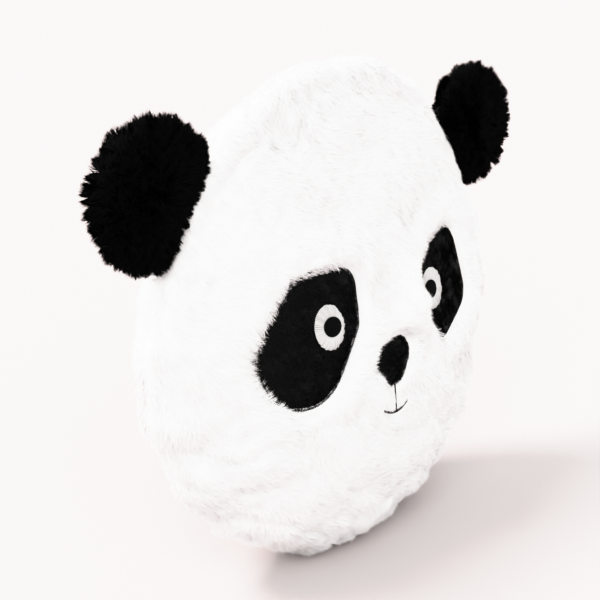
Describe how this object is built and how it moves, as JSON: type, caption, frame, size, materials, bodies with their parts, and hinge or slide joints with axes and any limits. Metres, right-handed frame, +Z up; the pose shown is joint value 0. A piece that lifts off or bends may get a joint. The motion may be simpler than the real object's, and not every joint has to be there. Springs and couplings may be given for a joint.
{
  "type": "plush cushion",
  "caption": "Round plush head cushion of a panda with fur panels, stitched face and two soft ears that bend at their seams.",
  "frame": {"origin": "on the floor, under the middle of the cushion's box", "axes": "+Z up, the face looks towards -Y, +X is to the right of someone who looks at the face, and left and right in names are as they see them"},
  "size_m": [0.4092, 0.1176, 0.342],
  "materials": {
    "white_fur": "soft white pile",
    "polyester_fibre": "loose fibre",
    "white_thread": "matte",
    "label_cloth": "satin weave",
    "trimmed_black_plush": "short pile",
    "satin_white_thread": "satin stitch",
    "black_thread": "satin stitch",
    "long_black_fur": "long pile"
  },
  "bodies": {
    "head": {"face_panel": "white_fur", "back_panel": "white_fur", "head_stuffing": "polyester_fibre", "rim_thread": "white_thread", "closing_stitches": "white_thread", "care_label": "label_cloth", "eye_patch_left": "trimmed_black_plush", "eye_patch_right": "trimmed_black_plush", "patch_stitches_left": "black_thread", "patch_stitches_right": "black_thread", "eye_white_left": "satin_white_thread", "eye_white_right": "satin_white_thread", "pupil_left": "black_thread", "pupil_right": "black_thread", "nose": "trimmed_black_plush", "mouth_stitches": "black_thread", "ear_root_left": "long_black_fur", "ear_root_right": "long_black_fur"},
    "ear_left": {"ear_front_left": "long_black_fur", "ear_back_left": "long_black_fur", "ear_stuffing_left": "polyester_fibre"},
    "ear_right": {"ear_front_right": "long_black_fur", "ear_back_right": "long_black_fur", "ear_stuffing_right": "polyester_fibre"}
  },
  "joints": [
    {"name": "ear_left_bend", "type": "hinge", "parent": "head", "child": "ear_left", "pos_m": [-0.14178, -0.00175, 0.26771], "axis": [-0.5299, 0, -0.848], "range_deg": [-25, 35], "stiffness_Nm_per_rad": 0.02},
    {"name": "ear_right_bend", "type": "hinge", "parent": "head", "child": "ear_right", "pos_m": [0.14178, -0.00175, 0.26771], "axis": [-0.5299, 0, 0.848], "range_deg": [-25, 35], "stiffness_Nm_per_rad": 0.02}
  ]
}
